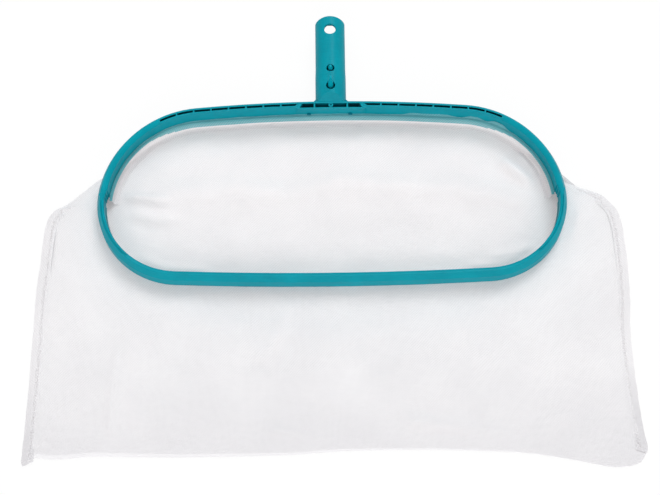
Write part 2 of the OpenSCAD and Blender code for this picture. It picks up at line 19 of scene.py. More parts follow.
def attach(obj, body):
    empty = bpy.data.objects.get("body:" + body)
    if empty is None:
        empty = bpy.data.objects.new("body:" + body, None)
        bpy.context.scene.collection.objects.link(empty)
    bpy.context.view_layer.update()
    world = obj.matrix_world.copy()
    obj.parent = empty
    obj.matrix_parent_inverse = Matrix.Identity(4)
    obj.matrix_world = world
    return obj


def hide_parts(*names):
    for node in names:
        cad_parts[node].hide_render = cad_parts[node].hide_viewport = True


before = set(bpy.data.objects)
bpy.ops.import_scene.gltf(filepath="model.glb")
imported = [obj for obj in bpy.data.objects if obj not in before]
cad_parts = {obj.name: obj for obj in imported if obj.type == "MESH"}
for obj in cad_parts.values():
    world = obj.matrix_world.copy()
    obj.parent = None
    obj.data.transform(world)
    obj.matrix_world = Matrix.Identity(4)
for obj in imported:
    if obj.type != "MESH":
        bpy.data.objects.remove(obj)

LOG = logging.getLogger("skimmer")
MM = 0.001
TURN = 2 * math.pi
Point = tuple[float, float]
Colour = tuple[float, float, float]
Row = tuple[float, float, float]
Node = bpy.types.Node
Socket = bpy.types.NodeSocket
Piece = bpy.types.Object
Material = bpy.types.Material
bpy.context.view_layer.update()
BODY = "net"


def linear(colour: Colour) -> tuple[float, float, float, float]:
    """Turns a display colour into the linear one that a shader takes.

    Args:
        colour: red, green and blue from 0 to 1, as a screen shows them.

    Returns:
        The linear colour with an alpha of 1.
    """
    made = [c / 12.92 if c <= 0.04045 else ((c + 0.055) / 1.055) ** 2.4 for c in colour]
    return (made[0], made[1], made[2], 1.0)


def smooth(values: np.ndarray, low: float, high: float) -> np.ndarray:
    """Goes from 0 at low to 1 at high with soft ends.

    Args:
        values: where to read it.
        low: the value that gives 0.
        high: the value that gives 1.

    Returns:
        An array of the same shape.
    """
    t = np.clip((values - low) / (high - low), 0.0, 1.0)
    return t * t * (3.0 - 2.0 * t)


def ripple(xy: np.ndarray, size: float, seed: float) -> np.ndarray:
    """Soft unevenness, the same on every run.

    Args:
        xy: points, one a row.
        size: width of a hump.
        seed: picks another pattern.

    Returns:
        Values from about -1 to 1, one for each point.
    """
    return np.array([noise.noise(Vector((x / size, y / size, seed))) for x, y in xy])


def run_along(line: np.ndarray) -> np.ndarray:
    """How far along a line each of its points lies."""
    return np.concatenate([[0.0], np.cumsum(np.linalg.norm(np.diff(line, axis=0), axis=1))])


def read_at(line: np.ndarray, at: np.ndarray, by: np.ndarray | None = None) -> np.ndarray:
    """Reads a line between its points.

    Args:
        line: one point a row.
        at: the places to read, in the measure of by.
        by: the measure of each point, which is even steps from 0 to 1 if it is left out.

    Returns:
        One row for each place.
    """
    steps = np.linspace(0.0, 1.0, len(line)) if by is None else by
    return np.stack([np.interp(at, steps, column) for column in line.T], axis=1)


@dataclass(frozen=True)
class Wave:
    """Soft unevenness of a cloth: how wide its humps are, how high, and which pattern they take."""

    size: float
    rise: float
    seed: float

    def height(self, xy: np.ndarray) -> np.ndarray:
        """How much the wave lifts each point."""
        return self.rise * ripple(xy, self.size, self.seed)

    def along(self, run: np.ndarray) -> np.ndarray:
        """How much the wave lifts each place of a line."""
        return self.height(np.column_stack([run, 0 * run]))


class Side(Enum):
    """One of the two sides of the net, seen from the front."""

    LEFT = -1
    RIGHT = 1


@dataclass(frozen=True)
class HoopLine:
    """The front rim line of the hoop: four arcs that touch each other in turn round each half."""

    width: float = 437.0
    height: float = 178.0
    middle_y: float = 43.0
    crown_r: float = 1500.0
    shoulder_r: float = 98.0
    heel_r: float = 75.0
    lip_r: float = 3200.0

    def arcs(self) -> list[tuple[Point, float, float]]:
        """Works out the arcs of the right half.

        Returns:
            The centre, the radius and the heading where it ends, of the crown, shoulder, heel and lip.
        """
        lip_c = np.array([0.0, self.middle_y - self.height / 2 + self.lip_r])
        heel_x = self.width / 2 - self.heel_r
        heel_c = np.array([heel_x, lip_c[1] - math.sqrt((self.lip_r - self.heel_r) ** 2 - heel_x**2)])
        crown_c = np.array([0.0, self.middle_y + self.height / 2 - self.crown_r])
        far, near = self.crown_r - self.shoulder_r, self.shoulder_r - self.heel_r
        gap = heel_c - crown_c
        d = float(np.linalg.norm(gap))
        along = (far**2 - near**2 + d * d) / (2 * d)
        aside = math.sqrt(far**2 - along**2)
        unit = gap / d
        shoulder_c = crown_c + along * unit + aside * np.array([-unit[1], unit[0]])
        ends = [shoulder_c - crown_c, heel_c - shoulder_c, heel_c - lip_c]
        turns = [math.degrees(math.atan2(v[0], v[1])) for v in ends] + [180.0]
        centres = [crown_c, shoulder_c, heel_c, lip_c]
        radii = [self.crown_r, self.shoulder_r, self.heel_r, self.lip_r]
        return [((float(c[0]), float(c[1])), r, e) for c, r, e in zip(centres, radii, turns)]

    def points(self, headings: np.ndarray, offset: np.ndarray | float) -> np.ndarray:
        """Points beside the rim line.

        Args:
            headings: degrees clockwise from +Y, from -360 to 360.
            offset: how far outwards from the rim line, one value or one for each heading.

        Returns:
            An array of x and y.
        """
        turn = (np.asarray(headings, float) + 180.0) % 360.0 - 180.0
        size = np.abs(turn)
        offsets = np.broadcast_to(np.asarray(offset, float), size.shape)
        made = np.zeros((len(size), 2))
        start = -1.0
        for (cx, cy), radius, end in self.arcs():
            here = (size > start) & (size <= end)
            angle = np.radians(size[here])
            made[here, 0] = cx + (radius + offsets[here]) * np.sin(angle)
            made[here, 1] = cy + (radius + offsets[here]) * np.cos(angle)
            start = end
        made[:, 0] *= np.where(turn < 0, -1.0, 1.0)
        return made

    def walk(self, first: float, last: float, shares: np.ndarray) -> tuple[np.ndarray, np.ndarray]:
        """Goes along the rim line from one heading to another.

        Args:
            first: the heading where it starts.
            last: the heading where it ends.
            shares: how far it has gone, from 0 to 1.

        Returns:
            The headings there, and the lengths of rim line up to them.
        """
        fine = np.linspace(first, last, 1500)
        run = run_along(self.points(fine, 0.0))
        along = shares * run[-1]
        return np.interp(along, run, fine), along

    def offset_of(self, xy: np.ndarray) -> np.ndarray:
        """How far points lie outside the rim line, and below 0 inside it.

        Args:
            xy: points, one a row.

        Returns:
            One distance for each point.
        """
        rim = self.points(np.linspace(-180.0, 180.0, 721)[:-1], 0.0)
        after = np.roll(rim, -1, axis=0)
        edge = after - rim
        length = (edge**2).sum(1)
        made = np.zeros(len(xy))
        for part in np.array_split(np.arange(len(xy)), 1 + len(xy) // 4000):
            v = xy[part, None, :] - rim[None]
            t = np.clip((v * edge).sum(2) / length, 0.0, 1.0)
            gap = np.linalg.norm(v - t[..., None] * edge, axis=2).min(1)
            rises = (rim[None, :, 1] > xy[part, None, 1]) != (after[None, :, 1] > xy[part, None, 1])
            step = np.where(edge[:, 1] == 0, 1e-9, edge[:, 1])
            cross = rim[None, :, 0] + (xy[part, None, 1] - rim[None, :, 1]) * edge[:, 0] / step
            inside = (rises & (xy[part, None, 0] < cross)).sum(1) % 2 == 1
            made[part] = np.where(inside, -gap, gap)
        return made


HOOP = HoopLine()


@dataclass(frozen=True)
class Fold:
    """A fold, ridge or dent in a cloth, along a line of points."""

    line: Sequence[Point]
    rise: float
    width: float
    fade: float = 18.0

    def height(self, xy: np.ndarray) -> np.ndarray:
        """How much the fold lifts the cloth.

        Args:
            xy: points, one a row.

        Returns:
            One height for each point.
        """
        best = np.full(len(xy), 1e9)
        share = np.zeros(len(xy))
        line = np.array(self.line, float)
        steps = np.linalg.norm(np.diff(line, axis=0), axis=1)
        run = np.concatenate([[0.0], np.cumsum(steps)])
        for k, (a, b) in enumerate(zip(line[:-1], line[1:])):
            d = b - a
            t = np.clip(((xy - a) @ d) / (d @ d), 0.0, 1.0)
            gap = np.linalg.norm(xy - a - t[:, None] * d, axis=1)
            nearer = gap < best
            best = np.where(nearer, gap, best)
            share = np.where(nearer, run[k] + t * steps[k], share)
        ends = smooth(share, -0.01, self.fade) * smooth(run[-1] - share, -0.01, self.fade)
        return self.rise * np.exp(-((best / self.width) ** 2)) * ends


def curve_through(points: Sequence[Sequence[float]], count: int) -> np.ndarray:
    """Points evenly spaced on a smooth curve through some points.

    Args:
        points: the points, with any number of columns, of which the first two are x and y.
        count: how many points to give back.

    Returns:
        An array with as many columns as the points have.
    """
    p = np.array(points, float)
    p = np.vstack([2 * p[0] - p[1], p, 2 * p[-1] - p[-2]])
    fine = []
    for a, b, c, d in zip(p[:-3], p[1:-2], p[2:-1], p[3:]):
        t = np.linspace(0.0, 1.0, 24, endpoint=False)[:, None]
        fine.append(0.5 * (2 * b + (c - a) * t + (2 * a - 5 * b + 4 * c - d) * t**2
                           + (3 * b - a - 3 * c + d) * t**3))
    line = np.vstack([*fine, p[-2:-1]])
    run = run_along(line[:, :2])
    return read_at(line, np.linspace(0.0, run[-1], count), run)


def length_of(line: np.ndarray) -> float:
    """The length of a line of points."""
    return float(np.linalg.norm(np.diff(line, axis=0), axis=1).sum())


def inward(line: np.ndarray, by: np.ndarray | float, towards: Point) -> np.ndarray:
    """A line moved sideways towards a point.

    Args:
        line: x and y of its points.
        by: how far, one value or one for each point.
        towards: the point that tells which side is inside.

    Returns:
        The moved points.
    """
    along = np.gradient(line, axis=0)
    along /= np.linalg.norm(along, axis=1)[:, None]
    across = np.stack([-along[:, 1], along[:, 0]], axis=1)
    middle = line[len(line) // 2]
    if across[len(line) // 2] @ (np.array(towards) - middle) < 0:
        across = -across
    return line + across * np.broadcast_to(np.asarray(by, float), len(line))[:, None]


# ---------------------------------------------------------------------------------------------- finishes


class Graph:
    """A node tree that is being wired."""

    def __init__(self, tree: bpy.types.NodeTree) -> None:
        """Takes the tree to wire."""
        self.tree = tree

    def add(self, kind: str, **settings: object) -> Node:
        """Adds a node and sets it up.

        Args:
            kind: the node's type.
            settings: attributes of the node.

        Returns:
            The node.
        """
        node = self.tree.nodes.new(kind)
        for name, value in settings.items():
            setattr(node, name, value)
        return node

    def feed(self, value: object, socket: Socket) -> None:
        """Links an output to a socket, or sets the socket to a plain value."""
        if isinstance(value, Socket):
            self.tree.links.new(value, socket)
        else:
            socket.default_value = value

    def bump(self, height: object, strength: float, distance: float, under: object = None) -> Socket:
        """A Bump node.

        Args:
            height: what it reads.
            strength: how much of it shows.
            distance: how high it is, in metres.
            under: the normal that it lies on, if not the surface's own.

        Returns:
            Its normal.
        """
        node = self.add("ShaderNodeBump")
        node.inputs["Strength"].default_value = strength
        node.inputs["Distance"].default_value = distance
        self.feed(height, node.inputs["Height"])
        if under is not None:
            self.feed(under, node.inputs["Normal"])
        return node.outputs[0]

    def looked_at(self) -> Socket:
        """1 where the camera, a reflection or a clear surface looks, and 0 for all other light."""
        path = self.add("ShaderNodeLightPath")
        bent = self.math("MAXIMUM", path.outputs["Is Glossy Ray"], path.outputs["Is Transmission Ray"])
        return self.math("MAXIMUM", path.outputs["Is Camera Ray"], bent)

    def math(self, operation: str, a: object, b: object = 0.0, c: object = 0.0) -> Socket:
        """A Math node.

        Args:
            operation: what it works out.
            a: its first value or socket.
            b: its second.
            c: its third.

        Returns:
            Its output.
        """
        node = self.add("ShaderNodeMath", operation=operation)
        for value, socket in zip((a, b, c), node.inputs):
            self.feed(value, socket)
        return node.outputs[0]

    def spread(self, value: object, low: float, high: float, to_low: float, to_high: float) -> Socket:
        """A Map Range node that stays between its ends.

        Args:
            value: what is mapped.
            low: the value that gives to_low.
            high: the value that gives to_high.
            to_low: the lower result.
            to_high: the higher result.

        Returns:
            Its output.
        """
        node = self.add("ShaderNodeMapRange", clamp=True)
        for item, socket in zip((value, low, high, to_low, to_high), node.inputs):
            self.feed(item, socket)
        return node.outputs[0]

    def noise(self, vector: object, scale: object, detail: float, rough: float = 0.5) -> Socket:
        """A Noise node's value.

        Args:
            vector: where it is read.
            scale: humps in each metre or unit.
            detail: layers of finer noise.
            rough: the share of each finer layer.

        Returns:
            Its output.
        """
        node = self.add("ShaderNodeTexNoise")
        self.feed(vector, node.inputs["Vector"])
        self.feed(scale, node.inputs["Scale"])
        node.inputs["Detail"].default_value = detail
        node.inputs["Roughness"].default_value = rough
        return node.outputs["Fac"]

    def stretched(self, vector: object, scale: Sequence[float], turn: float = 0.0) -> Socket:
        """A vector scaled along each axis and turned about Z."""
        node = self.add("ShaderNodeMapping")
        self.feed(vector, node.inputs["Vector"])
        node.inputs["Scale"].default_value = scale
        node.inputs["Rotation"].default_value = (0.0, 0.0, turn)
        return node.outputs[0]

    def mixed(self, share: object, first: object, second: object) -> Socket:
        """A colour between two.

        Args:
            share: 0 gives the first and 1 the second.
            first: a colour or a socket.
            second: a colour or a socket.

        Returns:
            The mixed colour.
        """
        node = self.add("ShaderNodeMix", data_type="RGBA")
        self.feed(share, node.inputs["Factor"])
        self.feed(first, node.inputs[6])
        self.feed(second, node.inputs[7])
        return node.outputs[2]

    def grouped(self, group: bpy.types.NodeTree, **inputs: object) -> Node:
        """Places a node group.

        Args:
            group: the group.
            inputs: values or sockets for its inputs, with _ for a space in a name.

        Returns:
            The group node.
        """
        node = self.add("ShaderNodeGroup", node_tree=group)
        for name, value in inputs.items():
            self.feed(value, node.inputs[name.replace("_", " ")])
        return node


class Effects:
    """The node groups that several finishes share, each built once."""

    def __init__(self) -> None:
        """Starts with none built."""
        self.built: dict[str, bpy.types.NodeTree] = {}

    def group(self, name: str, inputs: Sequence[tuple[str, str, object]], outputs: Sequence[str],
              wire: Callable[[Graph, Node, Node], None]) -> bpy.types.NodeTree:
        """Builds a group, or gives the one that is there.

        Args:
            name: its name.
            inputs: name, kind of socket and usual value of each input.
            outputs: names of its outputs, all plain values.
            wire: lays its nodes between its input and its output.

        Returns:
            The group.
        """
        if name in self.built:
            return self.built[name]
        tree = bpy.data.node_groups.new(name, "ShaderNodeTree")
        for label, kind, usual in inputs:
            socket = tree.interface.new_socket(label, in_out="INPUT", socket_type=kind)
            if usual is not None:
                socket.default_value = usual
        for label in outputs:
            tree.interface.new_socket(label, in_out="OUTPUT", socket_type="NodeSocketFloat")
        graph = Graph(tree)
        wire(graph, graph.add("NodeGroupInput"), graph.add("NodeGroupOutput"))
        self.built[name] = tree
        return tree

    def moulding(self) -> bpy.types.NodeTree:
        """The unevenness of moulded plastic: colour mottling, gloss and a fine skin."""

        def wire(g: Graph, start: Node, end: Node) -> None:
            """Lays the nodes."""
            at, size = start.outputs["Vector"], start.outputs["Size"]
            broad = g.noise(at, size, 3.0)
            flow = g.noise(g.stretched(at, (1.0, 5.0, 2.0), 0.2), g.math("MULTIPLY", size, 3.0), 2.0)
            skin = g.noise(at, g.math("MULTIPLY", size, 34.0), 2.0, 0.6)
            sink = g.noise(at, g.math("MULTIPLY", size, 2.4), 1.0)
            g.feed(g.math("MULTIPLY_ADD", flow, 0.35, g.math("MULTIPLY", broad, 0.65)), end.inputs["Mottle"])
            g.feed(g.spread(g.math("ADD", broad, flow), 0.7, 1.3, 0.0, 1.0), end.inputs["Gloss"])
            g.feed(g.math("MULTIPLY_ADD", sink, 0.8, g.math("MULTIPLY", skin, 0.2)), end.inputs["Height"])

        inputs = [("Vector", "NodeSocketVector", None), ("Size", "NodeSocketFloat", 40.0)]
        return self.group("moulded_skin", inputs, ["Mottle", "Gloss", "Height"], wire)

    def wear(self) -> bpy.types.NodeTree:
        """Small rubbed spots and short scratches, as a mask."""

        def wire(g: Graph, start: Node, end: Node) -> None:
            """Lays the nodes."""
            at, amount = start.outputs["Vector"], start.outputs["Amount"]
            spots = g.noise(at, 620.0, 2.0, 0.7)
            where = g.noise(at, 46.0, 1.0)
            lines = g.noise(g.stretched(at, (240.0, 2600.0, 900.0), 0.7), 1.0, 1.0)
            rubbed = g.math("MULTIPLY", g.spread(spots, 0.60, 0.72, 0.0, 1.0),
                            g.spread(where, 0.52, 0.66, 0.0, 1.0))
            scratched = g.math("MULTIPLY", g.spread(lines, 0.68, 0.75, 0.0, 1.0),
                               g.spread(where, 0.4, 0.6, 0.0, 1.0))
            g.feed(g.math("MULTIPLY", g.math("MAXIMUM", rubbed, scratched), amount), end.inputs["Mask"])

        inputs = [("Vector", "NodeSocketVector", None), ("Amount", "NodeSocketFloat", 0.5)]
        return self.group("wear_marks", inputs, ["Mask"], wire)

    def twill(self) -> bpy.types.NodeTree:
        """A fine twill: two sets of threads, a diagonal rib and the holes between."""

        def wire(g: Graph, start: Node, end: Node) -> None:
            """Lays the nodes."""
            at, pitch = start.outputs["Vector"], start.outputs["Pitch"]
            parts = g.add("ShaderNodeSeparateXYZ")
            sway = g.math("MULTIPLY", g.math("SUBTRACT", g.noise(at, 0.3, 1.0), 0.5), 0.35)
            g.feed(at, parts.inputs[0])
            x = g.math("DIVIDE", g.math("ADD", parts.outputs[0], sway), pitch)
            y = g.math("DIVIDE", g.math("SUBTRACT", parts.outputs[1], sway), pitch)
            warp = g.math("ABSOLUTE", g.math("SINE", g.math("MULTIPLY", x, math.pi)))
            weft = g.math("ABSOLUTE", g.math("SINE", g.math("MULTIPLY", y, math.pi)))
            wave = g.math("SINE", g.math("MULTIPLY", g.math("SUBTRACT", x, y), 0.75 * math.pi))
            rib = g.math("MULTIPLY_ADD", wave, 0.5, 0.5)
            under = g.math("MULTIPLY", weft, g.math("SUBTRACT", 1.0, rib))
            over = g.math("ADD", g.math("MULTIPLY", warp, rib), under)
            gap = g.math("MULTIPLY", g.math("SUBTRACT", 1.0, warp), g.math("SUBTRACT", 1.0, weft))
            g.feed(g.math("MULTIPLY_ADD", rib, 0.55, g.math("MULTIPLY", over, 0.45)), end.inputs["Thread"])
            g.feed(g.math("MULTIPLY_ADD", rib, 0.6, g.math("MULTIPLY", over, 0.4)), end.inputs["Height"])
            g.feed(g.spread(gap, 0.1, 0.6, 0.0, 1.0), end.inputs["Hole"])

        inputs = [("Vector", "NodeSocketVector", None), ("Pitch", "NodeSocketFloat", 0.1)]
        return self.group("twill_mesh", inputs, ["Thread", "Height", "Hole"], wire)

    def handling(self) -> bpy.types.NodeTree:
        """Faint smudges and crushed places of a handled cloth."""

        def wire(g: Graph, start: Node, end: Node) -> None:
            """Lays the nodes."""
            at = start.outputs["Vector"]
            broad = g.noise(at, 14.0, 3.0)
            crush = g.noise(g.stretched(at, (1.0, 2.6, 1.0), 0.5), 60.0, 3.0, 0.6)
            g.feed(g.spread(broad, 0.35, 0.65, 0.0, 1.0), end.inputs["Smudge"])
            g.feed(crush, end.inputs["Crush"])

        return self.group("handled_cloth", [("Vector", "NodeSocketVector", None)], ["Smudge", "Crush"], wire)


EFFECTS = Effects()


def new_material(name: str) -> tuple[Material, Graph, Node]:
    """Starts a material.

    Args:
        name: its name.

    Returns:
        The material, its graph and its Principled BSDF.
    """
    material = bpy.data.materials.new(name)
    material.use_nodes = True
    graph = Graph(material.node_tree)
    return material, graph, material.node_tree.nodes["Principled BSDF"]


@dataclass(frozen=True)
class PlasticFinish:
    """Moulded glossy plastic with a slightly uneven skin."""

    name: str
    colour: Colour
    deep: Colour
    rubbed: Colour
    roughness: tuple[float, float] = (0.34, 0.48)
    wear: float = 0.35
    skin: float = 0.2
    shine: float = 0.05
    coat: float = 0.05

    def material(self) -> Material:
        """Builds the material.

        Returns:
            The new material.
        """
        made, g, shader = new_material(self.name)
        at = g.add("ShaderNodeTexCoord").outputs["Object"]
        skin = g.grouped(EFFECTS.moulding(), Vector=at, Size=40.0)
        marks = g.grouped(EFFECTS.wear(), Vector=at, Amount=self.wear)
        share = g.spread(skin.outputs["Mottle"], 0.35, 0.65, 0.0, 1.0)
        base = g.mixed(share, linear(self.deep), linear(self.colour))
        g.feed(g.mixed(marks.outputs["Mask"], base, linear(self.rubbed)), shader.inputs["Base Color"])
        rough = g.spread(skin.outputs["Gloss"], 0.0, 1.0, *self.roughness)
        g.feed(g.math("MULTIPLY_ADD", marks.outputs["Mask"], 0.3, rough), shader.inputs["Roughness"])
        g.feed(g.bump(skin.outputs["Height"], self.skin, 0.0006), shader.inputs["Normal"])
        shader.inputs["Specular IOR Level"].default_value = self.shine
        shader.inputs["Coat Weight"].default_value = self.coat
        shader.inputs["Coat Roughness"].default_value = 0.22
        return made


@dataclass(frozen=True)
class MeshFinish:
    """Fine woven mesh, which lets a little of what lies behind it show, with painted shade that darkens it
    towards the bottom of the bag.
    """

    name: str
    light: Colour
    dark: Colour
    cover: tuple[float, float] = (0.45, 0.9)
    pitch: float = 0.1
    crush: float = 0.35
    # share of the tone left at the bottom of the bag, where shade is painted; 1 paints none
    painted_bottom_shade: float = 0.1

    def material(self) -> Material:
        """Builds the material.

        Returns:
            The new material.
        """
        made, g, shader = new_material(self.name)
        coordinates = g.add("ShaderNodeTexCoord")
        weave = g.grouped(EFFECTS.twill(), Vector=coordinates.outputs["UV"], Pitch=self.pitch)
        cloth = g.grouped(EFFECTS.handling(), Vector=coordinates.outputs["Object"])
        smudge = g.math("MULTIPLY", cloth.outputs["Smudge"], 0.25)
        tone = g.math("MULTIPLY_ADD", weave.outputs["Thread"], 0.75, smudge)
        place = g.add("ShaderNodeSeparateXYZ")
        g.feed(coordinates.outputs["Object"], place.inputs[0])
        # painted shade: the tone fades to the dark colour down the bag, in place of light falling off there
        down_bag = g.math("MULTIPLY_ADD", cloth.outputs["Smudge"], 0.02, place.outputs[1])
        low = g.spread(down_bag, -0.21, -0.11, self.painted_bottom_shade, 1.0)
        g.feed(g.mixed(g.math("MULTIPLY", tone, low), linear(self.dark), linear(self.light)),
               shader.inputs["Base Color"])
        g.feed(g.spread(weave.outputs["Thread"], 0.0, 1.0, 0.95, 0.7), shader.inputs["Roughness"])
        open_cover, closed_cover = self.cover
        g.feed(g.spread(weave.outputs["Hole"], 0.0, 1.0, closed_cover, open_cover), shader.inputs["Alpha"])
        shader.inputs["Sheen Weight"].default_value = 0.12
        shader.inputs["Specular IOR Level"].default_value = 0.25
        threads = g.bump(weave.outputs["Height"], 0.3, 0.00025)
        g.feed(g.bump(cloth.outputs["Crush"], self.crush, 0.0012, threads), shader.inputs["Normal"])
        return made


@dataclass(frozen=True)
class ThreadFinish:
    """Twisted sewing thread."""

    name: str
    light: Colour
    dark: Colour

    def material(self) -> Material:
        """Builds the material.

        Returns:
            The new material.
        """
        made, g, shader = new_material(self.name)
        at = g.add("ShaderNodeTexCoord").outputs["Object"]
        twist = g.noise(g.stretched(at, (1.0, 0.6, 1.0), 0.8), 2400.0, 1.0)
        fuzz = g.noise(at, 900.0, 2.0)
        share = g.spread(g.math("ADD", twist, fuzz), 0.75, 1.25, 0.0, 1.0)
        g.feed(g.mixed(share, linear(self.dark), linear(self.light)), shader.inputs["Base Color"])
        g.feed(g.spread(fuzz, 0.3, 0.7, 0.6, 0.9), shader.inputs["Roughness"])
        g.feed(g.bump(twist, 0.4, 0.0001), shader.inputs["Normal"])
        shader.inputs["Sheen Weight"].default_value = 0.2
        return made


@dataclass(frozen=True)
class FloorFinish:
    """A plain pale floor that reads as white and keeps the soft shadow of what lies on it."""

    name: str = "pale_floor"
    shown: Colour = (1.0, 1.0, 1.0)
    bounce: Colour = (0.9, 0.9, 0.9)
    own_light: float = 0.93

    def material(self) -> Material:
        """Builds the material.

        Returns:
            The new material.
        """
        made, g, shader = new_material(self.name)
        at = g.add("ShaderNodeTexCoord").outputs["Object"]
        grain = g.spread(g.noise(at, 9.0, 3.0), 0.3, 0.7, 0.985, 1.0)
        seen = g.looked_at()
        shader.inputs["Roughness"].default_value = 0.9
        shader.inputs["Specular IOR Level"].default_value = 0.0
        tint = g.mixed(grain, (0.0, 0.0, 0.0, 1.0), g.mixed(seen, linear(self.bounce), linear(self.shown)))
        g.feed(tint, shader.inputs["Base Color"])
        glow = g.add("ShaderNodeEmission")
        glow.inputs["Strength"].default_value = 1.0
        mix = g.add("ShaderNodeMixShader")
        g.feed(g.math("MULTIPLY", seen, self.own_light), mix.inputs[0])
        g.feed(shader.outputs[0], mix.inputs[1])
        g.feed(glow.outputs[0], mix.inputs[2])
        g.feed(mix.outputs[0], made.node_tree.nodes["Material Output"].inputs["Surface"])
        return made


TEAL = PlasticFinish("teal_moulding", (0.0, 0.59, 0.655), (0.0, 0.55, 0.615), (0.18, 0.68, 0.735))
PEG = PlasticFinish("peg_moulding", (0.01, 0.44, 0.51), (0.0, 0.40, 0.47), (0.15, 0.54, 0.6), wear=0.2)
CLIP = PlasticFinish("clip_moulding", (0.02, 0.64, 0.71), (0.0, 0.60, 0.67), (0.3, 0.76, 0.8), (0.24, 0.36))
STRIP = PlasticFinish("strip_moulding", (0.02, 0.60, 0.67), (0.0, 0.56, 0.63), (0.2, 0.68, 0.74), (0.4, 0.55))
NET = MeshFinish("net_mesh", (0.985, 0.982, 0.988), (0.908, 0.905, 0.917))
# rear_net_mesh_painted_shade: the same mesh as net_mesh, darker and a little redder, painted shade for the
# back of the bag inside the mouth and the mesh rising to the upper strip
SHADED_BACK_NET = MeshFinish("rear_net_mesh_painted_shade", (0.962, 0.952, 0.958), (0.878, 0.868, 0.88))
WRAP = MeshFinish("wrapped_mesh", (0.50, 0.76, 0.785), (0.22, 0.58, 0.63), cover=(0.72, 0.95), crush=0.8)
# the doubled edges of the seams and hems: colours darker than net_mesh and a strong darkening down the bag,
# all painted shade on the turned edges
SHADED_SEAM_MESH = MeshFinish("doubled_mesh_painted_shade", (0.955, 0.95, 0.957), (0.855, 0.85, 0.862), cover=(0.85, 0.98),
                  crush=0.6, painted_bottom_shade=-0.6)
THREAD = ThreadFinish("overlock_thread", (0.975, 0.972, 0.975), (0.88, 0.875, 0.885))


# ---------------------------------------------------------------------------------------------- meshes


def deselect_all() -> None:
    """Leaves no object selected or active."""
    for found in list(bpy.context.selected_objects):
        found.select_set(False)
    bpy.context.view_layer.objects.active = None


def smooth_shaded(piece: Piece, angle: float = 60.0) -> None:
    """Shades a piece smooth, up to an angle in degrees."""
    deselect_all()
    piece.select_set(True)
    bpy.context.view_layer.objects.active = piece
    bpy.ops.object.shade_smooth_by_angle(angle=math.radians(angle))


def laid_sheet(name: str, columns: int, rows: int,
               place: Callable[[np.ndarray, np.ndarray], tuple[np.ndarray, np.ndarray]],
               finish: Material) -> Piece:
    """A sheet of cloth: a grid whose vertices are moved to where the cloth lies.

    Args:
        name: the piece's name.
        columns: faces along the sheet.
        rows: faces across it.
        place: turns two arrays of shares, along and across, into points and cloth coordinates, in
            millimetres.
        finish: its material.

    Returns:
        The new piece.
    """
    deselect_all()
    bpy.ops.mesh.primitive_grid_add(x_subdivisions=columns, y_subdivisions=rows, size=2.0)
    piece = bpy.context.active_object
    piece.name = piece.data.name = name
    mesh = piece.data
    flat = np.zeros(len(mesh.vertices) * 3)
    mesh.vertices.foreach_get("co", flat)
    flat = flat.reshape(-1, 3)
    points, cloth = place((flat[:, 0] + 1) / 2, (flat[:, 1] + 1) / 2)
    mesh.vertices.foreach_set("co", (points * MM).astype(np.float32).ravel())
    corners = np.zeros(len(mesh.loops), np.int32)
    mesh.loops.foreach_get("vertex_index", corners)
    layer = mesh.uv_layers.active or mesh.uv_layers.new(name="UVMap")
    layer.data.foreach_set("uv", (cloth[corners] / 10.0).astype(np.float32).ravel())
    mesh.update()
    mesh.materials.append(finish)
    smooth_shaded(piece)
    return piece


def sewn_thread(name: str, runs: Sequence[np.ndarray], radius: float, finish: Material,
                sides: int = 1) -> Piece:
    """Thread along one or more lines of points, as a mesh.

    Args:
        name: the piece's name.
        runs: arrays of x, y and z, in millimetres.
        radius: of the thread.
        finish: its material.
        sides: how round its section is.

    Returns:
        The new piece.
    """
    data = bpy.data.curves.new(name, "CURVE")
    data.dimensions = "3D"
    data.bevel_depth = radius * MM
    data.bevel_resolution = sides
    data.use_fill_caps = True
    for run in runs:
        spline = data.splines.new("POLY")
        spline.points.add(len(run) - 1)
        weighted = np.hstack([run * MM, np.ones((len(run), 1))])
        spline.points.foreach_set("co", weighted.astype(np.float32).ravel())
    piece = bpy.data.objects.new(name, data)
    bpy.context.scene.collection.objects.link(piece)
    deselect_all()
    piece.select_set(True)
    bpy.context.view_layer.objects.active = piece
    bpy.ops.object.convert(target="MESH")
    piece = bpy.context.active_object
    piece.name = piece.data.name = name
    piece.data.materials.clear()
    piece.data.materials.append(finish)
    smooth_shaded(piece)
    return piece


def cut_area(piece: Piece) -> float:
    """The area of the cut that a sheet was laid from, in square metres, read from its cloth coordinates."""
    mesh = piece.data
    flat = np.zeros(len(mesh.loops) * 2)
    mesh.uv_layers.active.data.foreach_get("uv", flat)
    a, b, c, d = flat.reshape(-1, 4, 2).transpose(1, 0, 2)
    turn = (c - a)[:, 0] * (d - b)[:, 1] - (c - a)[:, 1] * (d - b)[:, 0]
    return float(np.abs(turn).sum() / 2) * 1e-4


# ---------------------------------------------------------------------------------------------- the bag


